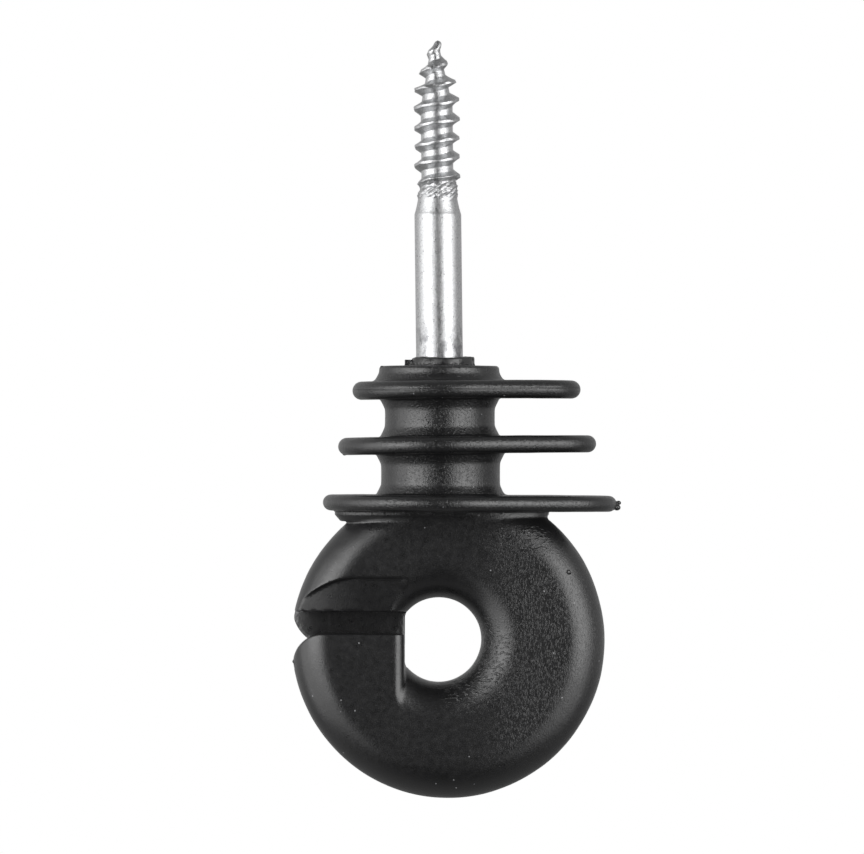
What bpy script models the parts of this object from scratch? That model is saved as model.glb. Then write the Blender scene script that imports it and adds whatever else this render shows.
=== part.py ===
"""Screw-in ring insulator for an electric fence.

A zinc-plated wood screw stands in a black plastic moulding. From the top down the moulding is a
seat boss on a hub, three watershed fins, and a ring that carries the fence wire. The wire enters the
ring sideways through a slot between two overlapping lips.

Frame: metres, +Z along the screw towards its point, origin on the screw's axis in the plane of the
collar's top, which meets the post. The ring lies in the XZ plane, its slot at -X. The front is -Y.
"""

import math

import bmesh
import bpy

# ---------------------------------------------------------------- screw, above the seat
TIP_Z = 0.0405
SHANK_DIAMETER = 0.0060
THREAD_ROOT_DIAMETER = 0.0041
THREAD_CREST_DIAMETER = 0.00575
THREAD_PITCH = 0.00243
THREAD_START_Z = 0.0221  # the lowest turn, above the plain run-out
THREAD_END_Z = TIP_Z - 0.0008
THREAD_SWELL = 0.3  # height of the thread at its start, as a share of its full height
THREAD_BURIED = 0.9  # the ridge's foot as a share of the core's radius
FOOT_LIMIT = 0.45  # widest half foot of the ridge, as a share of the pitch
RUNOUT_DIAMETER = 0.0051
RUNOUT_Z = 0.0202  # the rolled thread's blank ends here and opens into the shank
SHANK_TOP_Z = 0.0184
CORE_TAPER = 0.0085  # length over which the core tapers to the point
CREST_TAPER = 0.0062  # the same for the thread's crest, which stays wide for longer
CORE_LEAD = 0.0012  # height over which the run-out narrows to the core
POINT_RADIUS = 0.00042
POINT_STEPS = ((0.7, 0.25), (0.3, 0.0))  # radius, and drop below the tip, as shares of the radius
CREST_WIDTH = 0.00034
FLANK_SLOPE = 0.84  # half width gained for each unit of depth below the crest

# ---------------------------------------------------------------- screw, moulded into the hub
ROOT_DEPTH = 0.0165
ROOT_CHAMFER = 0.0005
GROOVE_DEPTH = 0.0006
GROOVE_HEIGHT = 0.0010
GROOVE_CENTRES = (-0.0040, -0.0068)
WING_SPAN = 0.0086  # the shank is pressed flat here, so it can't turn or pull out
WING_THICKNESS = 0.0040
WING_TOP_Z = -0.0098
WING_BOTTOM_Z = -0.0138
WING_BLEND = 0.0014
FIT_GAP = 0.0003

# ---------------------------------------------------------------- hub and fins
COLLAR_DIAMETER = 0.0094
COLLAR_HEIGHT = 0.0010
BOSS_DIAMETER = 0.0156
BOSS_ROUNDING = 0.0005
HUB_DIAMETERS = (0.01406, 0.01522)  # between fins 1 and 2, and between fins 2 and 3
HUB_FLARE = (0.00065, 0.00125)  # width and height of the cone from the hub to each fin's face
BOSS_FILLET = 0.0011
FIN_THICKNESS = 0.0023
FIN_MIDPLANES = (-0.0041, -0.0113, -0.0187)
FIN_RADII = (0.01115, 0.0130, 0.0150)  # the round side, about the screw's axis
FIN_REACHES = (0.0181, 0.0201, 0.0227)  # the long end, at +X
FIN_NOSE_RADII = (0.0063, 0.0072, 0.0096)

# ---------------------------------------------------------------- neck and ring
NECK_BOTTOM_Z = -0.0211
NECK_LEFT = -0.0131
NECK_RIGHT = 0.0142
NECK_HALF_DEPTH = 0.0068
NECK_SQUARENESS = 2.5  # exponent of its superelliptic plan
RING_RADIUS = 0.02005
RING_CENTRE = (0.00113, -0.0363)  # X, Z
HOLE_RADIUS = 0.00543
HOLE_CENTRE = (-0.00008, -0.03612)
RING_HALF_DEPTH = 0.00585
RING_SHOULDER = 0.0049  # radius of the section's four corners

# ---------------------------------------------------------------- slot and lips
SLOT_HALF_GAP = 0.0010  # each lip's inner face from the middle plane
LIP_OVERLAP = 0.00085  # each lip ends this far past the slot's centre height
CEILING = 0.00365  # the slot's flat ceiling above a lip, from the slot's centre height
RECESS_TOP = 0.0079  # top of the shallow recess that leads the wire in, from the same height
RECESS_DEPTH = 0.0004  # depth of the recess at its top, from the ring's face
RECESS_SLOPE = 0.21  # depth gained for each unit of height below its top
RECESS_BOW = (13.0, -0.0100)  # the recess also deepens as this times the square of the way past this X
STEP_RISE = 0.45  # rise of the recess's top wall for each unit of depth
LIP_INNER_X = -0.0045  # the lips' straight edges, which stand into the hole
LIP_CORNER_RADIUS = 0.0034
LIP_CORNER_X = -0.0152
LIP_CORNER_TURN = 85  # degrees of the corner's arc that are modelled
SLOT_INNER_X = -0.0032
LIP_EDGE_ROUNDING = 0.0013
LIP_BLOCK_WIDTH = 0.0085
LIP_BLOCK_HEIGHT = 0.0108

# ---------------------------------------------------------------- mesh fineness
SCREW_SEGMENTS = 24
HUB_SEGMENTS = 40
RING_SEGMENTS = 56
OVAL_SEGMENTS = 32
NOSE_STEPS = 10
BACK_STEPS = 22
RIM_STEPS = 6
SHOULDER_STEPS = 5
FILLET_STEPS = 4
SHARP_ANGLE = 35  # degrees from which an edge is shaded sharp
BEYOND = 0.006  # how far a cutter runs past what it cuts
BURIED = 0.0006  # how far joined shapes run into each other
FACE_STEP = 0.00006  # an edge stands this far off the face it would otherwise lie in


def new_material(name, colour, roughness, metallic):
    material = bpy.data.materials.new(name)
    material.use_nodes = True
    shader = material.node_tree.nodes["Principled BSDF"]
    shader.inputs["Base Color"].default_value = (*colour, 1.0)
    shader.inputs["Roughness"].default_value = roughness
    shader.inputs["Metallic"].default_value = metallic
    material.diffuse_color = (*colour, 1.0)
    return material


def add_object(name, bm, material=None):
    """Turns a bmesh into an object. Without a material it is a shape that only feeds a Boolean."""
    bmesh.ops.recalc_face_normals(bm, faces=bm.faces)
    mesh = bpy.data.meshes.new(name)
    bm.to_mesh(mesh)
    bm.free()
    mesh.shade_smooth()
    mesh.set_sharp_from_angle(angle=math.radians(SHARP_ANGLE))
    piece = bpy.data.objects.new(name, mesh)
    bpy.context.scene.collection.objects.link(piece)
    if material:
        mesh.materials.append(material)
    else:
        piece.hide_render = True
        piece.display_type = "WIRE"
    return piece


def combine(piece, other, operation):
    boolean = piece.modifiers.new(operation.lower() + "_" + other.name, "BOOLEAN")
    boolean.operation = operation
    boolean.solver = "EXACT"
    boolean.object = other


def skin(bm, loops, closed=False):
    """Joins successive loops of the same count with quads, and caps the ends unless the row closes."""
    rows = [[bm.verts.new(point) for point in loop] for loop in loops]
    pairs = list(zip(rows, rows[1:]))
    if closed:
        pairs.append((rows[-1], rows[0]))
    for lower, upper in pairs:
        for i in range(len(lower)):
            j = (i + 1) % len(lower)
            bm.faces.new((lower[i], lower[j], upper[j], upper[i]))
    if not closed:
        bm.faces.new(reversed(rows[0]))
        bm.faces.new(rows[-1])


def upright_loft(sections, segments):
    """A solid along Z through elliptical sections, each (half width in X, half width in Y, height)."""
    bm = bmesh.new()
    angles = [2 * math.pi * i / segments for i in range(segments)]
    skin(bm, [[(a * math.cos(t), b * math.sin(t), z) for t in angles] for a, b, z in sections])
    return bm


def arc(centre, radius, start, end, steps):
    """Points on an arc, with its angles in degrees."""
    points = []
    for i in range(steps + 1):
        t = math.radians(start + (end - start) * i / steps)
        points.append((centre[0] + radius * math.cos(t), centre[1] + radius * math.sin(t)))
    return points


# ==================================================================== screw


def screw_root_sections(clearance):
    """The moulded-in end of the screw from its foot up to the seat: pressed wings, then two grooves."""
    r = SHANK_DIAMETER / 2
    wing = (WING_SPAN / 2, WING_THICKNESS / 2)
    profile = [
        (r - ROOT_CHAMFER, r - ROOT_CHAMFER, -ROOT_DEPTH),
        (r, r, -ROOT_DEPTH + ROOT_CHAMFER),
        (r, r, WING_BOTTOM_Z - WING_BLEND / 2),
        (*wing, WING_BOTTOM_Z + WING_BLEND / 2),
        (*wing, WING_TOP_Z - WING_BLEND / 2),
        (r, r, WING_TOP_Z + WING_BLEND / 2),
    ]
    groove = r - GROOVE_DEPTH
    for centre in sorted(GROOVE_CENTRES):
        profile.append((r, r, centre - GROOVE_HEIGHT))
        profile.append((groove, groove, centre - GROOVE_HEIGHT / 2))
        profile.append((groove, groove, centre + GROOVE_HEIGHT / 2))
        profile.append((r, r, centre + GROOVE_HEIGHT))
    sections = [(a + clearance, b + clearance, z) for a, b, z in profile]
    foot = sections[0]
    sections[0] = (foot[0], foot[1], foot[2] - clearance)
    return sections


def tapered_radius(z, diameter, taper):
    """Radius at a height on a surface that narrows to the blunt point."""
    left = min(1.0, max(0.0, (TIP_Z - z) / taper))
    return POINT_RADIUS + (diameter / 2 - POINT_RADIUS) * left


def core_radius(z):
    return tapered_radius(z, THREAD_ROOT_DIAMETER, CORE_TAPER)


def crest_radius(z):
    """Radius of the thread's crest, which swells out of the run-out over half a turn."""
    swell = min(1.0, max(0.0, (z - THREAD_START_Z) / (0.5 * THREAD_PITCH)))
    full = tapered_radius(z, THREAD_CREST_DIAMETER, CREST_TAPER)
    return core_radius(z) + (full - core_radius(z)) * (THREAD_SWELL + (1 - THREAD_SWELL) * swell)


def build_thread():
    """One right-hand thread ridge, swept up a helix."""
    bm = bmesh.new()
    length = THREAD_END_Z - THREAD_START_Z
    steps = round(length / THREAD_PITCH * SCREW_SEGMENTS)
    loops = []
    for i in range(steps + 1):
        z = THREAD_START_Z + length * i / steps
        angle = 2 * math.pi * (z - THREAD_START_Z) / THREAD_PITCH + math.pi
        inner = THREAD_BURIED * core_radius(z)
        outer = crest_radius(z)
        tip = CREST_WIDTH / 2
        foot = min(tip + FLANK_SLOPE * (outer - inner), FOOT_LIMIT * THREAD_PITCH)
        loop = [(inner, z - foot), (outer, z - tip), (outer, z + tip), (inner, z + foot)]
        loops.append([(r * math.cos(angle), r * math.sin(angle), height) for r, height in loop])
    skin(bm, loops)
    return bm


def build_screw():
    zinc = new_material("zinc_plated_steel", (0.72, 0.73, 0.75), 0.3, 1.0)
    sections = screw_root_sections(0.0)
    for radius, z in (
        (SHANK_DIAMETER / 2, SHANK_TOP_Z),
        (RUNOUT_DIAMETER / 2, RUNOUT_Z),
        (RUNOUT_DIAMETER / 2, THREAD_START_Z),
        (THREAD_ROOT_DIAMETER / 2, THREAD_START_Z + CORE_LEAD),
    ):
        sections.append((radius, radius, z))
    for i in range(FILLET_STEPS + 1):
        z = TIP_Z - POINT_RADIUS - (CORE_TAPER - POINT_RADIUS) * (1 - i / FILLET_STEPS)
        sections.append((core_radius(z), core_radius(z), z))
    for share, drop in POINT_STEPS:
        sections.append((share * POINT_RADIUS, share * POINT_RADIUS, TIP_Z - drop * POINT_RADIUS))
    screw = add_object("screw", upright_loft(sections, SCREW_SEGMENTS), zinc)
    combine(screw, add_object("thread_ridge", build_thread()), "UNION")


# ==================================================================== insulator body


def hub_sections():
    """Turned outline of collar, boss and hub, with a flare at each fin's face, from the bottom up."""
    half = FIN_THICKNESS / 2
    flare_width, flare_height = HUB_FLARE
    outline = [(HUB_DIAMETERS[1] / 2 + flare_width, FIN_MIDPLANES[2])]
    for fin, radius in ((2, HUB_DIAMETERS[1] / 2), (1, HUB_DIAMETERS[0] / 2)):
        low_face = FIN_MIDPLANES[fin] + half
        high_face = FIN_MIDPLANES[fin - 1] - half
        outline.append((radius + flare_width, low_face + FACE_STEP))
        outline.append((radius, low_face + flare_height))
        outline.append((radius, high_face - flare_height))
        outline.append((radius + flare_width, high_face - FACE_STEP))
        outline.append((radius + flare_width, FIN_MIDPLANES[fin - 1]))
    boss = BOSS_DIAMETER / 2
    top_face = FIN_MIDPLANES[0] + half
    boss_centre = (boss + BOSS_FILLET, top_face + BOSS_FILLET + FACE_STEP)
    outline += arc(boss_centre, BOSS_FILLET, 270, 190, FILLET_STEPS)
    boss_top = -COLLAR_HEIGHT
    outline += arc((boss - BOSS_ROUNDING, boss_top - BOSS_ROUNDING), BOSS_ROUNDING, 0, 90, 3)
    collar = COLLAR_DIAMETER / 2
    outline += [(collar, boss_top), (collar, 0.0)]
    return [(r, r, z) for r, z in outline]


def egg_outline(radius, reach, nose_radius, inset):
    """Fin plan: a circle about the screw's axis, drawn out to a smaller round nose at +X."""
    nose_x = reach - nose_radius
    tangent = math.degrees(math.acos((radius - nose_radius) / nose_x))
    nose = arc((nose_x, 0.0), nose_radius - inset, -tangent, tangent, NOSE_STEPS)
    back = arc((0.0, 0.0), radius - inset, tangent, 360 - tangent, BACK_STEPS)
    return nose + back


def oval_outline(left, right, half_depth, inset):
    middle = (left + right) / 2
    a = (right - left) / 2 - inset
    b = half_depth - inset
    power = 2 / NECK_SQUARENESS
    points = []
    for i in range(OVAL_SEGMENTS):
        t = 2 * math.pi * i / OVAL_SEGMENTS
        x = middle + a * math.copysign(abs(math.cos(t)) ** power, math.cos(t))
        y = b * math.copysign(abs(math.sin(t)) ** power, math.sin(t))
        points.append((x, y))
    return points


def round_edged_plate(outline, midplane, thickness):
    """A level plate whose rim is a full half round. The outline is a function of its inset."""
    bm = bmesh.new()
    r = thickness / 2
    loops = []
    for i in range(RIM_STEPS + 1):
        tilt = math.radians(-90 + 180 * i / RIM_STEPS)
        z = midplane + r * math.sin(tilt)
        loops.append([(x, y, z) for x, y in outline(r * (1 - math.cos(tilt)))])
    skin(bm, loops)
    return bm


def ring_section(angle):
    """One section of the ring on the ray from the hole's centre, out to the ring's own circle."""
    along = (math.cos(angle), math.sin(angle))
    offset = (RING_CENTRE[0] - HOLE_CENTRE[0], RING_CENTRE[1] - HOLE_CENTRE[1])
    dot = along[0] * offset[0] + along[1] * offset[1]
    outer = dot + math.sqrt(dot * dot - offset[0] ** 2 - offset[1] ** 2 + RING_RADIUS**2)
    r = RING_SHOULDER
    deep = RING_HALF_DEPTH - r
    section = arc((outer - r, deep), r, 0, 90, SHOULDER_STEPS)
    section += arc((HOLE_RADIUS + r, deep), r, 90, 180, SHOULDER_STEPS)
    section += arc((HOLE_RADIUS + r, -deep), r, 180, 270, SHOULDER_STEPS)
    section += arc((outer - r, -deep), r, 270, 360, SHOULDER_STEPS)
    return [(HOLE_CENTRE[0] + u * along[0], y, HOLE_CENTRE[1] + u * along[1]) for u, y in section]


def build_ring():
    bm = bmesh.new()
    angles = [2 * math.pi * i / RING_SEGMENTS for i in range(RING_SEGMENTS)]
    skin(bm, [ring_section(angle) for angle in angles], closed=True)
    return bm


def build_lip(side):
    """A lip's flat face and straight inner edge: side -1 the front lip below the slot, +1 the back one."""
    bm = bmesh.new()
    r = LIP_EDGE_ROUNDING
    near = -SLOT_HALF_GAP / 2
    face = FACE_STEP - RING_HALF_DEPTH
    plan = [(LIP_INNER_X - LIP_BLOCK_WIDTH, near), (LIP_INNER_X - LIP_BLOCK_WIDTH, face)]
    plan += arc((LIP_INNER_X - r, face + r), r, -90, 0, FILLET_STEPS)
    plan.append((LIP_INNER_X, near))
    heights = (-LIP_BLOCK_HEIGHT, LIP_OVERLAP + BURIED)
    skin(bm, [[(x, -side * y, HOLE_CENTRE[1] - side * z) for x, y in plan] for z in heights])
    return bm


def slot_section(x, rise):
    """The slot's S-shaped section at one X. The rise opens it where the lips' outer corners round off."""
    g = SLOT_HALF_GAP
    far = RING_HALF_DEPTH + BEYOND
    bow, bow_x = RECESS_BOW
    recess_y = RING_HALF_DEPTH - RECESS_DEPTH - bow * max(0.0, bow_x - x) ** 2
    half = [
        (-far, LIP_OVERLAP - rise),
        (-g, LIP_OVERLAP - rise),
        (-g, -CEILING),
        (recess_y - RECESS_SLOPE * (RECESS_TOP - CEILING), -CEILING),
        (recess_y, -RECESS_TOP),
        (far, -RECESS_TOP - STEP_RISE * (far - recess_y)),
    ]
    other = [(-y, -z) for y, z in half]
    return [(x, y, HOLE_CENTRE[1] + z) for y, z in half + other]


def build_slot():
    bm = bmesh.new()
    loops = [slot_section(SLOT_INNER_X, 0.0)]
    for i in range(RIM_STEPS + 1):
        t = math.radians(LIP_CORNER_TURN * i / RIM_STEPS)
        x = LIP_CORNER_X - LIP_CORNER_RADIUS * math.sin(t)
        loops.append(slot_section(x, LIP_CORNER_RADIUS * (1 - math.cos(t))))
    loops.append(slot_section(RING_CENTRE[0] - RING_RADIUS - BEYOND, LIP_CORNER_RADIUS))
    skin(bm, loops)
    return bm


def build_pocket():
    """The space round the moulded-in end of the screw, open at the collar."""
    sections = screw_root_sections(FIT_GAP)
    mouth = SHANK_DIAMETER / 2 + FIT_GAP
    sections.append((mouth, mouth, BEYOND))
    return upright_loft(sections, SCREW_SEGMENTS)


def build_body():
    plastic = new_material("black_polyethylene", (0.013, 0.013, 0.014), 0.42, 0.0)
    body = add_object("insulator_body", upright_loft(hub_sections(), HUB_SEGMENTS), plastic)
    plans = zip(FIN_MIDPLANES, FIN_RADII, FIN_REACHES, FIN_NOSE_RADII)
    for i, (midplane, radius, reach, nose) in enumerate(plans, start=1):
        plate = round_edged_plate(lambda d: egg_outline(radius, reach, nose, d), midplane, FIN_THICKNESS)
        combine(body, add_object(f"fin_{i}", plate), "UNION")
    neck_top = FIN_MIDPLANES[2] - FIN_THICKNESS / 2 + BURIED
    neck = round_edged_plate(
        lambda d: oval_outline(NECK_LEFT, NECK_RIGHT, NECK_HALF_DEPTH, d),
        (neck_top + NECK_BOTTOM_Z) / 2,
        neck_top - NECK_BOTTOM_Z,
    )
    combine(body, add_object("neck", neck), "UNION")
    combine(body, add_object("ring", build_ring()), "UNION")
    combine(body, add_object("front_lip", build_lip(-1)), "UNION")
    combine(body, add_object("back_lip", build_lip(1)), "UNION")
    combine(body, add_object("slot", build_slot()), "DIFFERENCE")
    combine(body, add_object("screw_pocket", build_pocket()), "DIFFERENCE")


def main():
    for old in list(bpy.data.objects):
        bpy.data.objects.remove(old, do_unlink=True)
    build_screw()
    build_body()


main()
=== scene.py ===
"""Looks of the screw-in ring insulator: its fine meshes, materials, studio and camera.

The moulding is modelled as a distance field, in millimetres: every feature is a distance, and
fillets come from blending them. Its skin is a net of quads laid on the field's zero surface, split
where the surface bends. The screw is one skin wound round its axis, with the thread in its radius.
"""

import math
from collections import namedtuple

import bmesh
import bpy
import numpy as np
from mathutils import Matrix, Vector


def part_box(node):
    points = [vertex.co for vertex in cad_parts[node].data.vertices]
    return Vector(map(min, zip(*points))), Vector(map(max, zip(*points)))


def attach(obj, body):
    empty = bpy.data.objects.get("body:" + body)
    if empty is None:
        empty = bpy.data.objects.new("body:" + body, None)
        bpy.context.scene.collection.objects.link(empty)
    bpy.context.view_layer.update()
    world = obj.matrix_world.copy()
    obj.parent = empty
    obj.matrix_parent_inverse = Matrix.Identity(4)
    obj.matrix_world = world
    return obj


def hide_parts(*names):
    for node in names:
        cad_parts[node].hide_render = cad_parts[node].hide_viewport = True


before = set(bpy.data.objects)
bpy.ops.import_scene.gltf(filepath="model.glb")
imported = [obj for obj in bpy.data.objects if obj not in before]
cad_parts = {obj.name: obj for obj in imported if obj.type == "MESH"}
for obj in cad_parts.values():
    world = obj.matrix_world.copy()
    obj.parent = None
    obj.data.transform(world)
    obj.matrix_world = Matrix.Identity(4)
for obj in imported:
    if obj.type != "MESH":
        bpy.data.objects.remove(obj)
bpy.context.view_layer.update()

MM = 0.001
body_low, body_high = (np.array(corner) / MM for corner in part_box("insulator_body"))
screw_low, screw_high = (np.array(corner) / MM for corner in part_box("screw"))


# ======================================================================== moulding, in millimetres
Fin = namedtuple("Fin", "height radius reach nose thickness lean sag")
Lip = namedtuple("Lip", "overlap end_x corner")  # overlap past the slot's middle height
Crumb = namedtuple("Crumb", "x y z radius squash", defaults=(1.2,))
Ripple = namedtuple("Ripple", "height count turn")  # count is how many go round the collar
Waves = namedtuple("Waves", "height size seed")

FINS = (
    Fin(-4.07, 11.15, 18.1, 6.3, 2.33, 0.0105, 0.0006),
    Fin(-11.17, 13.0, 20.1, 7.2, 2.22, 0.0135, 0.00035),
    Fin(-18.62, 14.93, body_high[0], 9.6, 2.04, -0.005, 0.0),
)
FIN_FILLET = 0.2

HUBS = ((0.04, 7.03), (0.13, 7.61))  # X of the axis and radius, between each two fins
HUB_OVERLAP = 0.5  # how far a hub runs into its fins
HUB_SCALE = 0.93  # turns distances to a flared side into true ones
FLARE_HEIGHT = 1.25
FLARE_SLOPE = 0.52
FLARE_BEND = 0.25

BOSS_X = -0.04
BOSS_RADIUS = 7.66
BOSS_SCALE = 0.9
BOSS_FLARE = 0.62
BOSS_FLARE_TOP = -1.95
BOSS_FLARE_BEND = 0.3
BOSS_TOP = -1.05
BOSS_DOME = 0.02  # slope of the top
BOSS_DOME_RADIUS = 7.0  # where the top is at BOSS_TOP
BOSS_EDGE = 0.4
BOSS_FILLET = 0.35

COLLAR_X = 0.3
COLLAR_RADIUS = 4.1
COLLAR_TOP = 0.04
COLLAR_BOTTOM = -1.3
COLLAR_EDGE = 0.2
COLLAR_OUTLINE = (Ripple(0.07, 5, 1.0), Ripple(0.03, 11, 0.0))
COLLAR_HEIGHT = (Ripple(0.07, 3, 2.2), Ripple(0.03, 13, 0.0))
COLLAR_DRAW = 0.21  # how fast the outline draws in above COLLAR_DRAW_Z: twice this on the left
COLLAR_DRAW_Z = -0.75
COLLAR_GROOVE_Z = -0.95
COLLAR_GROOVE = 0.12  # depth and half width
COLLAR_GROOVE_FROM = 3.95  # radius inside which the groove isn't cut
STUB_CENTRE = (-4.0, -0.6, -0.62)
STUB_HALF = (0.45, 0.5, 0.36)
COLLAR_CRUMB = Crumb(4.2, -0.9, -0.22, 0.24, 1.0)
COLLAR_RAG = Crumb(3.3, -1.4, -0.02, 0.26, 1.4)
RAG_FILLET = 0.1

NECK_EDGE_Z = -20.1
NECK_BOTTOM_Z = -20.95
NECK_HALF_LENGTH = 13.73
NECK_HALF_DEPTH = 6.15
NECK_CENTRE_X = 0.31
NECK_SQUARENESS = 2.5
NECK_END_SCALE = 0.6  # distances are this share longer at the oval's ends than at its sides
NECK_DRAFT = 0.6
NECK_EDGE = 0.12
NECK_OVERLAP = 0.6  # how far the neck runs up into the bottom fin

RING_RADIUS = 20.05
RING_X = 1.13
RING_Z = body_low[2] + RING_RADIUS
RING_HALF_DEPTH = 5.85
SHOULDER = 4.9
RIM_SHIFT = -0.03
RIM_LEAN = 0.2  # how far the rim moves right from RIM_LEAN_FROM above the hole, over RIM_LEAN_OVER
RIM_LEAN_FROM = 3.0
RIM_LEAN_OVER = 13.0
RIM_SQUASH = 0.004  # how much taller the rim's bottom is, reached RIM_SQUASH_OVER below its centre
RIM_SQUASH_OVER = 20.0
HOLE_RADIUS = 5.43
HOLE_X = -0.08
HOLE_Z = -36.12

LIP_GAP = 1.0  # each lip's inner face from the middle plane
FRONT_LIP = Lip(0.8, -18.8, 4.0)
BACK_LIP = Lip(0.9, -18.9, 5.0)
LIP_BOW = 0.03  # the inner face bows away past LIP_BOW_X
LIP_BOW_X = -15.2
LIP_INNER_X = -4.45  # the lips' straight edges
LIP_EDGE = 1.4
LIP_REACH = 2.0  # how far a straight edge runs past the hole's centre height
LIP_FILLET = 0.3
CEILING = 3.65
RECESS_TOP = 7.9
RECESS_DEPTH = 0.4
RECESS_SLOPE = 0.21
RECESS_CURVE = 0.018  # the recess gets deeper past RECESS_CURVE_X
RECESS_CURVE_X = -8.8
RECESS_BEND = 0.048  # its top edge falls past RECESS_BEND_X
RECESS_BEND_X = -10.0
STEP_RISE = 0.45
WAY_BOTTOM = -3.0
MIDDLE_HALF_HEIGHT = 1.3
SLOT_END_X = -2.9
SLOT_END_ROUNDING = 2.0
CRISP_EDGE = 0.2

CRUMBS = (
    Crumb(body_high[0] + 0.05, -0.4, -19.2, 0.46),
    Crumb(body_high[0] + 0.25, 0.1, -18.6, 0.34),
    Crumb(-18.55, -1.6, -38.9, 0.3),
    Crumb(19.9, -0.5, -12.3, 0.22),
    Crumb(-7.4, -1.5, -1.2, 0.2),
    Crumb(-12.2, -0.6, -12.4, 0.18),
)
CRUMB_FILLET = 0.12
UNEVENNESS = (Waves(0.02, 9.0, 1.0), Waves(0.006, 2.6, 2.0))
NECK_FILLET = 0.4
HUB_FILLET = 0.25
COLLAR_FILLET = 0.1

SHANK_RADIUS = 3.0
POCKET_GAP = 0.08


# ======================================================================== distance fields
def round_union(a, b, r):
    """Joins two distances with a fillet of radius r in the corner between them."""
    return np.maximum(r, np.minimum(a, b)) - np.hypot(np.maximum(r - a, 0), np.maximum(r - b, 0))


def round_overlap(a, b, r):
    """What two distances share, with its edge rounded to radius r."""
    return -round_union(-a, -b, r)


def smooth_step(t):
    t = np.clip(t, 0.0, 1.0)
    return t * t * (3 - 2 * t)


def soft_ramp(t, bend):
    """t above zero and nearly 0 below, with a soft bend between."""
    return (t + np.hypot(t, bend)) / 2


def rippled(angle, ripples):
    """Sum of the ripples at an angle round the collar."""
    return sum(r.height * np.sin(r.count * angle + r.turn) for r in ripples)


def waves(x, y, z, size, seed):
    """Smooth uneven noise of about +-1, made of five crossing waves.

    The seed picks their directions and starts. The factors keep them from lining up.
    """
    total = 0.0
    for i in range(5):
        turn = seed * 1.7 + i * 2.4
        tilt = math.cos(seed * 2.3 + i * 1.9)
        flat = math.sqrt(1 - tilt * tilt)
        along = (x * math.cos(turn) + y * math.sin(turn)) * flat + z * tilt
        total = total + np.sin(along * (2 * math.pi / size) * (0.7 + 0.17 * i) + turn * 3.1)
    return total / 3.0


def egg_plan(x, y, radius, reach, nose):
    """Fin plan: a circle about the screw's axis and a smaller one at the nose, with tangent sides."""
    far = reach - nose
    slope = (radius - nose) / far
    side = math.sqrt(1 - slope * slope)
    across = np.abs(y)
    along = side * x - slope * across
    on_sides = side * across + slope * x - radius
    on_back = np.hypot(x, y) - radius
    on_nose = np.hypot(x - far, y) - nose
    return np.where(along < 0, on_back, np.where(along > side * far, on_nose, on_sides))


def round_rimmed_plate(plan, height, thickness):
    r = thickness / 2
    return np.hypot(np.maximum(plan + r, 0), height) - r


def crumb_field(x, y, z, crumb):
    """A ball, flattened in height by its squash."""
    up = (z - crumb.z) * crumb.squash
    return np.sqrt((x - crumb.x) ** 2 + (y - crumb.y) ** 2 + up**2) - crumb.radius


def fin_middle(x, fin):
    """Height of a fin's middle plane, which leans and sags a little."""
    return fin.height + fin.lean * x - fin.sag * x * x


def hub_field(x, y, z):
    """Boss, hub and fins. Between two fins the hub is a cylinder that flares towards both."""
    field = np.inf
    for (centre_x, radius), upper, lower in zip(HUBS, FINS, FINS[1:]):
        top = fin_middle(x, upper) - upper.thickness / 2
        bottom = fin_middle(x, lower) + lower.thickness / 2
        into_flare = FLARE_HEIGHT - np.minimum(top - z, z - bottom)
        flare = FLARE_SLOPE * soft_ramp(into_flare, FLARE_BEND)
        hub = (np.hypot(x - centre_x, y) - radius - flare) * HUB_SCALE
        hub = np.maximum(hub, np.maximum(z - top, bottom - z) - HUB_OVERLAP)
        field = np.minimum(field, hub)
    for fin in FINS:
        plan = egg_plan(x, y, fin.radius, fin.reach, fin.nose)
        plate = round_rimmed_plate(plan, z - fin_middle(x, fin), fin.thickness)
        field = round_union(field, plate, FIN_FILLET)
    return round_union(field, boss_field(x, y, z), BOSS_FILLET)


def boss_field(x, y, z):
    """Boss on the top fin, flared at its foot and slightly domed."""
    rho = np.hypot(x - BOSS_X, y)
    flare = BOSS_FLARE * soft_ramp(BOSS_FLARE_TOP - z, BOSS_FLARE_BEND)
    side = (rho - BOSS_RADIUS - flare) * BOSS_SCALE
    dome = z - BOSS_TOP - BOSS_DOME * (BOSS_DOME_RADIUS - rho)
    return np.maximum(round_overlap(side, dome, BOSS_EDGE), FINS[0].height - z)


def collar_field(x, y, z):
    """Flash round the shank: uneven in height and outline, with a torn stub on its left."""
    angle = np.arctan2(y, x - COLLAR_X)
    rho = np.hypot(x - COLLAR_X, y)
    draw = COLLAR_DRAW * np.clip(z - COLLAR_DRAW_Z, 0, 1) * (1 - np.cos(angle))
    side = rho - COLLAR_RADIUS - rippled(angle, COLLAR_OUTLINE) + draw
    top = z - COLLAR_TOP - rippled(angle, COLLAR_HEIGHT)
    disc = np.maximum(round_overlap(side, top, COLLAR_EDGE), COLLAR_BOTTOM - z)
    groove = COLLAR_GROOVE * np.exp(-(((z - COLLAR_GROOVE_Z) / COLLAR_GROOVE) ** 2))
    disc = disc + groove * (rho > COLLAR_GROOVE_FROM)
    past = [np.abs(a - c) - half for a, c, half in zip((x, y, z), STUB_CENTRE, STUB_HALF)]
    stub = np.maximum(np.maximum(past[0], past[1]), past[2])
    disc = np.minimum(np.minimum(disc, stub), crumb_field(x, y, z, COLLAR_CRUMB))
    return round_union(disc, crumb_field(x, y, z, COLLAR_RAG), RAG_FILLET)


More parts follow.
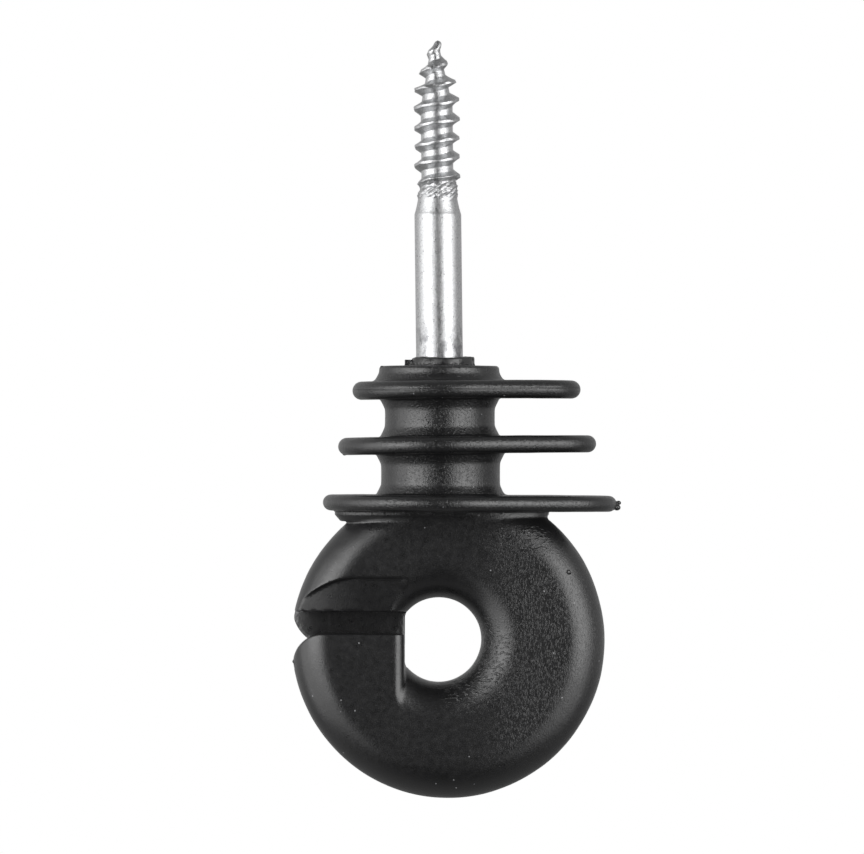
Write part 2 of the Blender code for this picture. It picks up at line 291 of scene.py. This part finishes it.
def neck_field(x, y, z):
    """Thin oval land under the bottom fin, drawn in towards its underside."""
    u = np.abs(x - NECK_CENTRE_X) / NECK_HALF_LENGTH
    v = np.abs(y) / NECK_HALF_DEPTH
    reach = (u**NECK_SQUARENESS + v**NECK_SQUARENESS) ** (1 / NECK_SQUARENESS)
    plan = (reach - 1) * NECK_HALF_DEPTH * (1 + NECK_END_SCALE * smooth_step(u))
    side = (plan + NECK_DRAFT * (NECK_EDGE_Z - z)) / math.hypot(1, NECK_DRAFT)
    land = round_overlap(np.maximum(side, plan), NECK_BOTTOM_Z - z, NECK_EDGE)
    return np.maximum(land, z - NECK_EDGE_Z - NECK_OVERLAP)


def wire_way(x, y, z, lip):
    """Space above a lip. A shallow recess in the ring's face ends below in the slot's flat ceiling."""
    solid = round_overlap(z - lip.overlap, lip.end_x - x, lip.corner)
    bowed = RECESS_CURVE * np.maximum(RECESS_CURVE_X - x, 0) ** 2
    top = RECESS_TOP - RECESS_BEND * np.maximum(RECESS_BEND_X - x, 0) ** 2
    floor_y = RECESS_DEPTH - RING_HALF_DEPTH + RECESS_SLOPE * (RECESS_TOP - z) + bowed
    recess = (y - floor_y) / math.hypot(1, RECESS_SLOPE)
    step = (z - top + STEP_RISE * (y - floor_y)) / math.hypot(1, STEP_RISE)
    roof = np.minimum(np.maximum(recess, step), z - CEILING)
    inner = round_overlap(roof, x - SLOT_END_X, SLOT_END_ROUNDING)
    back_y = LIP_GAP + LIP_BOW * np.maximum(LIP_BOW_X - x, 0) ** 2
    return np.maximum(np.maximum(-solid, inner), np.maximum(y - back_y, WAY_BOTTOM - z))


def slot_field(x, y, z):
    """The slot's empty space: a way over the front lip, one under the back lip, and their gap."""
    middle = np.maximum(np.abs(y) - LIP_GAP, np.abs(z) - MIDDLE_HALF_HEIGHT)
    middle = np.maximum(middle, x - HOLE_X)
    ways = np.minimum(wire_way(x, y, z, FRONT_LIP), wire_way(x, -y, -z, BACK_LIP))
    return np.minimum(ways, middle)


def ring_field(x, y, z):
    """Ring with big round shoulders, the lips' flat faces and straight edges, and the slot.

    Z is measured from the hole's centre.
    """
    lean = RIM_SHIFT + RIM_LEAN * smooth_step((z - RIM_LEAN_FROM) / RIM_LEAN_OVER)
    ring_x = x - RING_X - lean
    ring_z = z - (RING_Z - HOLE_Z)
    squash = 1 - RIM_SQUASH * smooth_step(-ring_z / RIM_SQUASH_OVER)
    rim = np.hypot(ring_x, ring_z * squash) - RING_RADIUS
    hole = HOLE_RADIUS - np.hypot(x - HOLE_X, z)
    depth = np.maximum(np.abs(y) - RING_HALF_DEPTH + SHOULDER, 0)
    outer = np.hypot(np.maximum(rim + SHOULDER, 0), depth) - SHOULDER
    inner = np.hypot(np.maximum(hole + SHOULDER, 0), depth) - SHOULDER
    for side in (-1, 1):
        edge = round_overlap(x - LIP_INNER_X, side * y - RING_HALF_DEPTH, LIP_EDGE)
        block = np.maximum(edge, np.maximum(LIP_GAP - side * y, -side * z - LIP_REACH))
        inner = round_union(inner, block, LIP_FILLET)
    ring = np.maximum(outer, inner)
    return round_overlap(ring, -slot_field(x, y, z), CRISP_EDGE)


def pocket_field(x, y, z):
    """The screw's room in the moulding: a plain bore, as its end can't be seen."""
    return np.maximum(np.hypot(x, y) - SHANK_RADIUS - POCKET_GAP, screw_low[2] - POCKET_GAP - z)


def body_field(x, y, z):
    """The whole moulding, with crumbs of flash and slightly uneven faces."""
    field = round_union(neck_field(x, y, z), ring_field(x, y, z - HOLE_Z), NECK_FILLET)
    field = round_union(hub_field(x, y, z), field, HUB_FILLET)
    field = round_union(field, collar_field(x, y, z), COLLAR_FILLET)
    for crumb in CRUMBS:
        field = round_union(field, crumb_field(x, y, z, crumb), CRUMB_FILLET)
    for part in UNEVENNESS:
        field = field + part.height * waves(x, y, z, part.size, part.seed)
    return np.maximum(field, -pocket_field(x, y, z))


# ======================================================================== skin on a field
NET_PITCH = 0.42
NET_MARGIN = 1.5
REFINEMENTS = ((9.0, 0.2), (14.0, 0.12))  # bend along an edge in degrees, and shortest edge to split
SLOPE_REACH = 0.02
LEAST_SLOPE2 = 0.05
LONGEST_MOVE = 0.3


def gradient(field, points):
    """Slope of the field along X, Y and Z at points."""
    slopes = []
    for axis in range(3):
        step = np.zeros(3)
        step[axis] = SLOPE_REACH
        slopes.append(field(*(points + step).T) - field(*(points - step).T))
    return np.stack(slopes, axis=1) / (2 * SLOPE_REACH)


def settle(field, points, rounds):
    """Moves points onto the field's zero surface."""
    for _ in range(rounds):
        slope = gradient(field, points)
        length2 = np.maximum((slope**2).sum(axis=1), LEAST_SLOPE2)
        move = (field(*points.T) / length2)[:, None] * slope
        points = points - np.clip(move, -LONGEST_MOVE, LONGEST_MOVE)
    return points


def net_on_field(field, low, high, pitch):
    """Points and quads of a surface net: one point in each grid cell that the surface crosses."""
    axes = [np.arange(low[i], high[i] + pitch, pitch) for i in range(3)]
    solid = field(*np.meshgrid(*axes, indexing="ij")) < 0
    counts = tuple(n - 1 for n in solid.shape)
    corners = np.zeros(counts, np.int8)
    for i in (0, 1):
        for j in (0, 1):
            for k in (0, 1):
                corners += solid[i : i + counts[0], j : j + counts[1], k : k + counts[2]]
    crossed = (corners > 0) & (corners < 8)
    index = np.full(counts, -1, np.int64)
    index[crossed] = np.arange(crossed.sum())
    cells = np.argwhere(crossed)
    points = np.array([axes[i][0] for i in range(3)]) + (cells + 0.5) * pitch
    quads = []
    for axis in range(3):
        one, two = [i for i in range(3) if i != axis]
        here = np.take(solid, range(0, solid.shape[axis] - 1), axis=axis)
        beyond = np.take(solid, range(1, solid.shape[axis]), axis=axis)
        for leaving in (True, False):
            edges = np.argwhere((here & ~beyond) if leaving else (~here & beyond))
            loop = []
            for back_one, back_two in ((0, 0), (1, 0), (1, 1), (0, 1)):
                cell = edges.copy()
                cell[:, one] -= back_one
                cell[:, two] -= back_two
                loop.append(index[tuple(cell.T)])
            if leaving == (axis == 1):
                loop.reverse()
            quads.append(np.stack(loop, axis=1))
    return points, np.concatenate(quads)


def refine(field, points, faces, limit, shortest):
    """Splits the edges along which the surface turns by more than limit degrees."""
    bm = bmesh.new()
    verts = [bm.verts.new(p) for p in points]
    for face in faces:
        bm.faces.new([verts[i] for i in face])
    bm.verts.index_update()
    ends = np.array([[v.index for v in edge.verts] for edge in bm.edges])
    normals = gradient(field, points)
    normals /= np.linalg.norm(normals, axis=1)[:, None]
    turn = (normals[ends[:, 0]] * normals[ends[:, 1]]).sum(axis=1)
    length = np.linalg.norm(points[ends[:, 0]] - points[ends[:, 1]], axis=1)
    split = (turn < math.cos(math.radians(limit))) & (length > shortest)
    edges = [edge for edge, chosen in zip(bm.edges, split) if chosen]
    bmesh.ops.subdivide_edges(bm, edges=edges, cuts=1, use_grid_fill=True)
    bmesh.ops.triangulate(bm, faces=[f for f in bm.faces if len(f.verts) > 4])
    bm.verts.index_update()
    points = settle(field, np.array([v.co for v in bm.verts], float), rounds=2)
    faces = [[v.index for v in face.verts] for face in bm.faces]
    bm.free()
    return points, faces


def add_piece(name, points, faces, material, cad_node):
    """Makes a mesh piece from points in millimetres, and ties it to the CAD frame."""
    mesh = bpy.data.meshes.new(name)
    mesh.from_pydata((np.asarray(points) * MM).tolist(), [], [list(map(int, f)) for f in faces])
    mesh.shade_smooth()
    mesh.materials.append(material)
    mesh.validate()
    piece = bpy.data.objects.new(name, mesh)
    bpy.context.scene.collection.objects.link(piece)
    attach(piece, "root")
    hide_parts(cad_node)


def build_moulding(material):
    low, high = body_low - NET_MARGIN, body_high + NET_MARGIN
    points, faces = net_on_field(body_field, low, high, NET_PITCH)
    points = settle(body_field, points, rounds=5)
    for limit, shortest in REFINEMENTS:
        points, faces = refine(body_field, points, faces, limit, shortest)
    add_piece("insulator_moulding", points, faces, material, "insulator_body")


# ======================================================================== screw, in millimetres
SpiralWave = namedtuple("SpiralWave", "height count rate")  # count round the screw, rate along Z

TIP_RISE = 0.2
TIP_Z = screw_high[2] + TIP_RISE
TIP_ROUNDING = 0.45
TIP_CAP = 0.5  # height that the last TIP_CAP_ROWS rows take up
TIP_CAP_ROWS = 9
LEAST_TIP = 0.02  # share of the radius left at the very tip
POINT_RADIUS = 0.36
HOOK = 0.35  # the tip bends this far right over HOOK_LENGTH
HOOK_LENGTH = 1.6
SWAY = 0.10  # below the hook, the axis bends this far left
SWAY_FROM = 6.0
SWAY_LENGTH = 3.0
LEAN = 0.0115
LEAN_START = 3.0

PITCH = 2.43
THREAD_START = 22.15
CORE_RADIUS = 2.05
CORE_TAPER = 8.5
CREST_RADIUS = 2.9
CREST_TAPER = 6.2
CREST_HALF_FLAT = 0.19
FLANK_WIDTH = 0.62
FLANK_POWER = 1.15
RIDGE_START = -0.35  # turns from THREAD_START where the ridge starts to rise
RIDGE_GROWTH = 0.7
ENTRY_START = -0.55  # turns from THREAD_START where the blank starts to turn into thread
ENTRY_GROWTH = 0.5
SWING = (SpiralWave(0.025, 2, 0.9), SpiralWave(0.012, 5, -2.1))
WEAR = (SpiralWave(0.05, 3, 1.7), SpiralWave(0.04, 7, 5.0))

SHANK_TOP = 18.4
NECK_RADIUS = 2.53
NECK_POWER = 0.8
RUNOUT = 20.3
RUNOUT_FADE = 0.4
TORN_TOP = 23.4
TORN_FADE = 0.9
TORN_THREAD = 0.5  # share of the tears that the thread keeps
TEARS = (SpiralWave(0.05, 17, -11), SpiralWave(0.05, 29, 23))
CROSSED_TEARS = (  # each pair is multiplied
    (SpiralWave(0.06, 9, 4), SpiralWave(1, -4, 9)),
    (SpiralWave(0.04, 41, -17), SpiralWave(1, 0, 29)),
)

ROOT_GROOVES = (-4.0, -6.8)
ROOT_GROOVE_DEPTH = 0.6
ROOT_GROOVE_WIDTH = 0.52
ROOT_GROOVE_END = 1.9  # widths from a groove's centre to where it has run out
WINGS_BOTTOM = -14.6
WINGS_TOP = -9.2
WINGS_FADE = 1.5
WINGS_SPREAD = 1.3
WINGS_PRESS = 1.0

ROOT_STEP = 0.3
SHANK_STEP = 0.4
THREAD_STEP = 0.075
AROUND = 132


def spiral(angle, z, parts):
    """Sum of spiral waves at an angle and a height."""
    return sum(wave.height * np.sin(angle * wave.count + z * wave.rate) for wave in parts)


def tears(angle, z):
    """Roughness of the torn run-out, as a change of radius."""
    crossed = sum(spiral(angle, z, (one,)) * spiral(angle, z, (two,)) for one, two in CROSSED_TEARS)
    return crossed + spiral(angle, z, TEARS)


def threaded_radius(angle, z, turns):
    """Tapered core with the thread's ridge on it. Turns counts from where the thread starts."""
    core_left = np.clip((TIP_Z - z) / CORE_TAPER, 0, 1)
    crest_left = np.clip((TIP_Z - z) / CREST_TAPER, 0, 1)
    core = POINT_RADIUS + (CORE_RADIUS - POINT_RADIUS) * core_left
    crest = POINT_RADIUS + (CREST_RADIUS - POINT_RADIUS) * crest_left
    swung = turns + spiral(angle, z, SWING)
    from_crest = np.abs(np.mod(swung + 0.5, 1.0) - 0.5) * PITCH
    ridge = np.clip(1 - (from_crest - CREST_HALF_FLAT) / FLANK_WIDTH, 0, 1) ** FLANK_POWER
    swell = smooth_step((turns - RIDGE_START) / RIDGE_GROWTH)
    worn = 1 + spiral(angle, z, WEAR)
    return core + (crest - core) * ridge * swell * worn


def screw_radius(angle, z):
    """Radius of the screw's skin at an angle and a height, above the collar."""
    cone = np.clip((z - SHANK_TOP) / (RUNOUT - SHANK_TOP), 0, 1) ** NECK_POWER
    blank = SHANK_RADIUS + (NECK_RADIUS - SHANK_RADIUS) * cone
    torn = smooth_step((z - RUNOUT) / RUNOUT_FADE) * smooth_step((TORN_TOP - z) / TORN_FADE)
    rough = torn * tears(angle, z)
    blank = blank + rough
    turns = (z - THREAD_START) / PITCH - (angle - math.pi) / (2 * math.pi)
    entering = smooth_step((turns - ENTRY_START) / ENTRY_GROWTH)
    radius = blank + (threaded_radius(angle, z, turns) - blank) * entering
    radius = radius + TORN_THREAD * rough * entering
    past = np.clip((z - TIP_Z + TIP_ROUNDING) / TIP_ROUNDING, 0, 1)
    ball = np.sqrt(np.clip(1 - past**2, 0.0, 1))
    return radius * np.maximum(ball, LEAST_TIP)


def root_radii(z):
    """Half widths in X and Y of the moulded-in end: two grooves, and two pressed wings below."""
    groove = 0.0
    for centre in ROOT_GROOVES:
        away = np.abs(z - centre) / ROOT_GROOVE_WIDTH
        groove = groove + ROOT_GROOVE_DEPTH * smooth_step(ROOT_GROOVE_END - away)
    pressed = smooth_step((z - WINGS_BOTTOM) / WINGS_FADE) * smooth_step((WINGS_TOP - z) / WINGS_FADE)
    radius = SHANK_RADIUS - groove
    return radius + WINGS_SPREAD * pressed, radius - WINGS_PRESS * pressed


def axis_shift(z):
    """How far right the screw's axis is: it leans left, and its tip hooks to the right."""
    hook = HOOK * smooth_step((z - TIP_Z + HOOK_LENGTH) / HOOK_LENGTH)
    sway = SWAY * smooth_step((z - TIP_Z + SWAY_FROM) / SWAY_LENGTH)
    return hook - sway - LEAN * np.maximum(z, 0) * smooth_step(z / LEAN_START)


def build_screw(material):
    cap_start = TIP_Z - TIP_CAP
    rows = np.concatenate([
        np.arange(screw_low[2], 0.0, ROOT_STEP),
        np.arange(0.0, SHANK_TOP, SHANK_STEP),
        np.arange(SHANK_TOP, cap_start, THREAD_STEP),
        TIP_Z - TIP_CAP * np.cos(np.linspace(0, math.pi / 2, TIP_CAP_ROWS)),
    ])
    angles = np.arange(AROUND) * 2 * math.pi / AROUND
    z, angle = np.meshgrid(rows, angles, indexing="ij")
    radius = screw_radius(angle, z)
    wide, deep = root_radii(z)
    in_root = z < 0
    x = np.where(in_root, wide, radius) * np.cos(angle) + axis_shift(z)
    y = np.where(in_root, deep, radius) * np.sin(angle)
    points = np.stack([x, y, z], axis=-1).reshape(-1, 3)
    faces = []
    for row in range(len(rows) - 1):
        for i in range(AROUND):
            j = (i + 1) % AROUND
            low, high = row * AROUND, (row + 1) * AROUND
            faces.append((low + i, low + j, high + j, high + i))
    faces.append(tuple(reversed(range(AROUND))))
    faces.append(tuple((len(rows) - 1) * AROUND + i for i in range(AROUND)))
    add_piece("wood_screw", points, faces, material, "screw")


# ======================================================================== material nodes
def nodes_of(material):
    material.use_nodes = True
    tree = material.node_tree
    return tree, tree.nodes["Principled BSDF"]


def object_coordinates(tree):
    return tree.nodes.new("ShaderNodeTexCoord").outputs["Object"]


def split_axes(tree, vector):
    node = tree.nodes.new("ShaderNodeSeparateXYZ")
    tree.links.new(vector, node.inputs["Vector"])
    return node.outputs["X"], node.outputs["Y"], node.outputs["Z"]


def noise(tree, coordinates, scale, detail=3.0, roughness=0.55):
    node = tree.nodes.new("ShaderNodeTexNoise")
    node.inputs["Scale"].default_value = scale
    node.inputs["Detail"].default_value = detail
    node.inputs["Roughness"].default_value = roughness
    tree.links.new(coordinates, node.inputs["Vector"])
    return node.outputs["Fac"]


def ramp(tree, value, stops):
    node = tree.nodes.new("ShaderNodeValToRGB")
    elements = node.color_ramp.elements
    while len(elements) < len(stops):
        elements.new(0.5)
    for element, (position, shade) in zip(elements, stops):
        element.position = position
        element.color = (*shade, 1.0) if isinstance(shade, tuple) else (shade, shade, shade, 1.0)
    tree.links.new(value, node.inputs["Fac"])
    return node.outputs["Color"]


def maths(tree, operation, *values):
    """A Math node. Each value is a socket or a number."""
    node = tree.nodes.new("ShaderNodeMath")
    node.operation = operation
    for socket, value in zip(node.inputs, values):
        if isinstance(value, (int, float)):
            socket.default_value = value
        else:
            tree.links.new(value, socket)
    return node.outputs["Value"]


def times(tree, first, second):
    return maths(tree, "MULTIPLY", first, second)


def bump(tree, height, distance, strength, below=None):
    """Bump of a distance in millimetres, on top of the bump below."""
    node = tree.nodes.new("ShaderNodeBump")
    node.inputs["Strength"].default_value = strength
    node.inputs["Distance"].default_value = distance * MM
    tree.links.new(height, node.inputs["Height"])
    if below:
        tree.links.new(below, node.inputs["Normal"])
    return node.outputs["Normal"]


def between(tree, value, low, high):
    """0 at low and 1 at high, smoothly."""
    node = tree.nodes.new("ShaderNodeMapRange")
    node.interpolation_type = "SMOOTHSTEP"
    tree.links.new(value, node.inputs["Value"])
    node.inputs["From Min"].default_value = low
    node.inputs["From Max"].default_value = high
    return node.outputs["Result"]


def near(tree, place, centre, reach, fade):
    """1 close to a point in millimetres and 0 beyond reach, with a soft edge."""
    node = tree.nodes.new("ShaderNodeVectorMath")
    node.operation = "DISTANCE"
    tree.links.new(place, node.inputs[0])
    node.inputs[1].default_value = [c * MM for c in centre]
    return between(tree, node.outputs["Value"], (reach + fade) * MM, reach * MM)


def stretched(tree, place, scale, turn=0.0):
    """Coordinates turned in the ring's plane and stretched, for streaks."""
    node = tree.nodes.new("ShaderNodeMapping")
    tree.links.new(place, node.inputs["Vector"])
    node.inputs["Rotation"].default_value = (0.0, math.radians(turn), 0.0)
    node.inputs["Scale"].default_value = scale
    return node.outputs["Vector"]


def specks(tree, place, scale, size):
    """1 on sparse little spots and 0 elsewhere. Size is a share of the cells' width."""
    node = tree.nodes.new("ShaderNodeTexVoronoi")
    node.inputs["Scale"].default_value = scale
    tree.links.new(place, node.inputs["Vector"])
    return between(tree, node.outputs["Distance"], size, size * 0.6)


def blend(tree, share, first, second):
    """Mixes a colour socket with a fixed colour."""
    node = tree.nodes.new("ShaderNodeMix")
    node.data_type = "RGBA"
    tree.links.new(share, node.inputs[0])
    tree.links.new(first, node.inputs[6])
    node.inputs[7].default_value = (*second, 1.0)
    return node.outputs[2]


# ======================================================================== materials
BLACK_DEEP = (0.0080, 0.0080, 0.0085)
BLACK_PALE = (0.0105, 0.0105, 0.0110)
DUST = (0.30, 0.30, 0.31)
ZINC_DARK = (0.50, 0.505, 0.515)
ZINC_BRIGHT = (0.70, 0.705, 0.71)
ZINC_PIT = (0.30, 0.30, 0.31)
ZINC_DULL = (0.20, 0.20, 0.21)

# Places on the moulding and the screw, in millimetres. A pair is where a mask is 0 and where it is 1.
HUB_ENDS_Z = (-20.7, -19.5)
RING_STARTS_Z = (-20.5, -22.5)
ROUGH_SIDE_X = (1.0, 12.0)
OFF_LIPS_X = (-3.0, 2.0)
BORE_WRINKLES = (HOLE_X + 4.0, -RING_HALF_DEPTH, HOLE_Z - 3.0)
NECK_WRINKLES = (10.2, -5.2, -23.0)
SCUFF = (-6.3, -13.5, -18.4)
PIT = (16.5, -5.1, -27.4)
PARTING_LINE = (0.03, 0.12)
DULL_ZINC_Z = (6.2, 0.8)


def mask(tree, value, ends):
    """0 at the first end and 1 at the second, in millimetres."""
    return between(tree, value, ends[0] * MM, ends[1] * MM)


def parting_line(tree, x, z):
    """0 along the middle of the top fin's rim, which leans with the fin, and 1 off it."""
    fin = FINS[0]
    rise = maths(tree, "ADD", times(tree, x, -fin.lean), z)
    away = maths(tree, "ABSOLUTE", maths(tree, "SUBTRACT", rise, fin.height * MM))
    return mask(tree, away, PARTING_LINE)


def wrinkled_areas(tree, place, x, on_ring):
    """1 at the bore's lower right, at the neck's right end and on the bottom fin's scuff."""
    by_bore = near(tree, place, BORE_WRINKLES, reach=4.6, fade=3.4)
    by_bore = times(tree, by_bore, mask(tree, x, OFF_LIPS_X))
    by_neck = near(tree, place, NECK_WRINKLES, reach=2.2, fade=3.4)
    wrinkled = times(tree, maths(tree, "MAXIMUM", by_bore, by_neck), on_ring)
    scuffed = near(tree, place, SCUFF, reach=0.5, fade=0.9)
    return maths(tree, "MAXIMUM", wrinkled, scuffed)


def plastic_relief(tree, place):
    """Grain, peel on the hub, parting line, pit, drag lines on the ring's right, and wrinkles."""
    x, _, z = split_axes(tree, place)
    on_hub = mask(tree, z, HUB_ENDS_Z)
    on_ring = mask(tree, z, RING_STARTS_Z)
    grain = noise(tree, place, scale=5200, detail=2)
    relief = bump(tree, grain, distance=0.04, strength=0.5)
    peel = between(tree, noise(tree, place, scale=3600, detail=2), 0.48, 0.72)
    relief = bump(tree, times(tree, peel, on_hub), distance=0.03, strength=0.7, below=relief)
    line = parting_line(tree, x, z)
    relief = bump(tree, line, distance=0.06, strength=0.9, below=relief)
    off_pit = maths(tree, "SUBTRACT", 1.0, near(tree, place, PIT, reach=0.12, fade=0.25))
    relief = bump(tree, off_pit, distance=0.15, strength=1.0, below=relief)
    along_z = stretched(tree, place, (1.0, 1.0, 0.28))
    drag = between(tree, noise(tree, along_z, scale=8500, detail=2), 0.48, 0.76)
    rough_side = times(tree, on_ring, mask(tree, x, ROUGH_SIDE_X))
    drag = times(tree, drag, rough_side)
    relief = bump(tree, drag, distance=0.02, strength=0.7, below=relief)
    aslant = stretched(tree, place, (0.5, 1.0, 1.2), turn=35.0)
    wrinkle = between(tree, noise(tree, aslant, scale=2300, detail=3), 0.48, 0.72)
    wrinkle = times(tree, wrinkle, wrinkled_areas(tree, place, x, on_ring))
    return bump(tree, wrinkle, distance=0.06, strength=0.9, below=relief)


def black_plastic():
    """Satin black with a few specks of dust."""
    material = bpy.data.materials.new("black_polyethylene")
    tree, shader = nodes_of(material)
    place = object_coordinates(tree)
    patches = noise(tree, place, scale=260, detail=4)
    tint = ramp(tree, patches, [(0.3, BLACK_DEEP), (0.7, BLACK_PALE)])
    tint = blend(tree, specks(tree, place, scale=430, size=0.05), tint, DUST)
    smears = noise(tree, place, scale=1400, detail=5, roughness=0.65)
    gloss = ramp(tree, smears, [(0.3, 0.26), (0.7, 0.37)])
    tree.links.new(tint, shader.inputs["Base Color"])
    tree.links.new(gloss, shader.inputs["Roughness"])
    tree.links.new(plastic_relief(tree, place), shader.inputs["Normal"])
    shader.inputs["IOR"].default_value = 1.5
    shader.inputs["Specular IOR Level"].default_value = 1.0
    return material


def zinc_plate():
    """Bright zinc with spangle, fine pits and grain, and dull blotches near the collar."""
    material = bpy.data.materials.new("zinc_plated_steel")
    tree, shader = nodes_of(material)
    place = object_coordinates(tree)
    spangle = noise(tree, place, scale=4200, detail=3, roughness=0.7)
    tint = ramp(tree, spangle, [(0.35, ZINC_DARK), (0.6, ZINC_BRIGHT)])
    tint = blend(tree, specks(tree, place, scale=1500, size=0.17), tint, ZINC_PIT)
    upright = stretched(tree, place, (1.0, 1.0, 0.5))
    blotch = noise(tree, upright, scale=620, detail=5, roughness=0.7)
    blotch = between(tree, blotch, 0.47, 0.66)
    low = mask(tree, split_axes(tree, place)[2], DULL_ZINC_Z)
    tint = blend(tree, times(tree, low, blotch), tint, ZINC_DULL)
    smears = noise(tree, place, scale=1500, detail=5, roughness=0.7)
    gloss = ramp(tree, smears, [(0.35, 0.27), (0.7, 0.40)])
    grain = bump(tree, noise(tree, place, scale=8000, detail=2), distance=0.05, strength=0.7)
    tree.links.new(tint, shader.inputs["Base Color"])
    tree.links.new(gloss, shader.inputs["Roughness"])
    tree.links.new(grain, shader.inputs["Normal"])
    shader.inputs["Metallic"].default_value = 1.0
    return material


def floor_material():
    material = bpy.data.materials.new("pale_floor")
    tree, shader = nodes_of(material)
    patches = noise(tree, object_coordinates(tree), scale=3.0)
    shade = ramp(tree, patches, [(0.3, 0.88), (0.7, 0.92)])
    tree.links.new(shade, shader.inputs["Base Color"])
    shader.inputs["Roughness"].default_value = 0.7
    return material


# ======================================================================== studio, in metres
VIEW_CENTRE = Vector((-0.00096, 0.0, -0.00888))
VIEW_WIDTH = 0.1108
CAMERA_DISTANCE = 1.1
SENSOR = 36.0
VIEW_REACH = 20.0
FLOOR_DROP = 0.028
FLOOR_RADIUS = 0.40
SOFTBOX_DISTANCE = 1.2
SOFTBOXES = (  # name, azimuth, width, bottom, top, radiance
    ("key_left", -46, 0.95, -0.22, 0.72, 1.85),
    ("fill_left", -62, 1.8, -0.85, 0.9, 1.05),
    ("key_right", 46, 0.95, -0.22, 0.72, 1.8),
    ("fill_right", 52, 1.35, -0.85, 0.9, 1.1),
)
WORLD_BY_DEPTH = [(0.0, 0.03), (0.2, 0.08), (0.45, 0.50), (0.7, 0.65), (1.0, 0.65)]
WORLD_BY_HEIGHT = [(0.0, 0.42), (0.3, 0.42), (0.5, 1.0), (0.8, 0.7), (1.0, 0.5)]
WORLD_BY_SIDE = [(0.0, 1.0), (0.5, 0.85), (1.0, 0.7)]


def add_camera():
    camera = bpy.data.objects.new("camera", bpy.data.cameras.new("camera"))
    bpy.context.scene.collection.objects.link(camera)
    camera.data.sensor_width = SENSOR
    camera.data.lens = SENSOR * CAMERA_DISTANCE / VIEW_WIDTH
    camera.data.clip_end = VIEW_REACH
    camera.location = VIEW_CENTRE + Vector((0, -CAMERA_DISTANCE, 0))
    camera.rotation_euler = (math.radians(90), 0, 0)
    bpy.context.scene.camera = camera


def add_softbox(name, azimuth, width, bottom, top, radiance):
    """An upright panel of light that faces the object's axis.

    Azimuth 0 is at the camera, and grows to its right.
    """
    light = bpy.data.lights.new(name, "AREA")
    light.shape = "RECTANGLE"
    light.size = width
    light.size_y = top - bottom
    light.energy = radiance * math.pi * width * (top - bottom)
    lamp = bpy.data.objects.new(name, light)
    bpy.context.scene.collection.objects.link(lamp)
    angle = math.radians(azimuth)
    outward = Vector((math.sin(angle), -math.cos(angle), 0))
    lamp.location = outward * SOFTBOX_DISTANCE + Vector((0, 0, (top + bottom) / 2))
    lamp.rotation_mode = "QUATERNION"
    lamp.rotation_quaternion = outward.to_track_quat("Z", "Y")
    lamp.visible_camera = False


def add_world():
    """White for the camera. For light: dim, darkest round the camera and below."""
    world = bpy.data.worlds.new("studio")
    bpy.context.scene.world = world
    world.use_nodes = True
    tree = world.node_tree
    back = tree.nodes["Background"]
    direction = tree.nodes.new("ShaderNodeTexCoord").outputs["Generated"]
    across, deep, high = (
        maths(tree, "MULTIPLY_ADD", axis, 0.5, 0.5) for axis in split_axes(tree, direction)
    )
    glow = times(tree, ramp(tree, deep, WORLD_BY_DEPTH), ramp(tree, high, WORLD_BY_HEIGHT))
    glow = times(tree, glow, ramp(tree, across, WORLD_BY_SIDE))
    sight = tree.nodes.new("ShaderNodeLightPath").outputs["Is Camera Ray"]
    back.inputs["Color"].default_value = (1.0, 1.0, 1.0, 1.0)
    tree.links.new(maths(tree, "MAXIMUM", glow, sight), back.inputs["Strength"])


def add_floor():
    bm = bmesh.new()
    bmesh.ops.create_circle(bm, cap_ends=True, segments=96, radius=FLOOR_RADIUS)
    mesh = bpy.data.meshes.new("floor")
    bm.to_mesh(mesh)
    bm.free()
    mesh.materials.append(floor_material())
    floor = bpy.data.objects.new("floor", mesh)
    bpy.context.scene.collection.objects.link(floor)
    floor.location.z = body_low[2] * MM - FLOOR_DROP
    floor.visible_glossy = False
    floor.visible_diffuse = False
    floor.visible_shadow = False


add_camera()
build_moulding(black_plastic())
build_screw(zinc_plate())
add_floor()
add_world()
for softbox in SOFTBOXES:
    add_softbox(*softbox)
bpy.context.scene.view_settings.view_transform = "Standard"
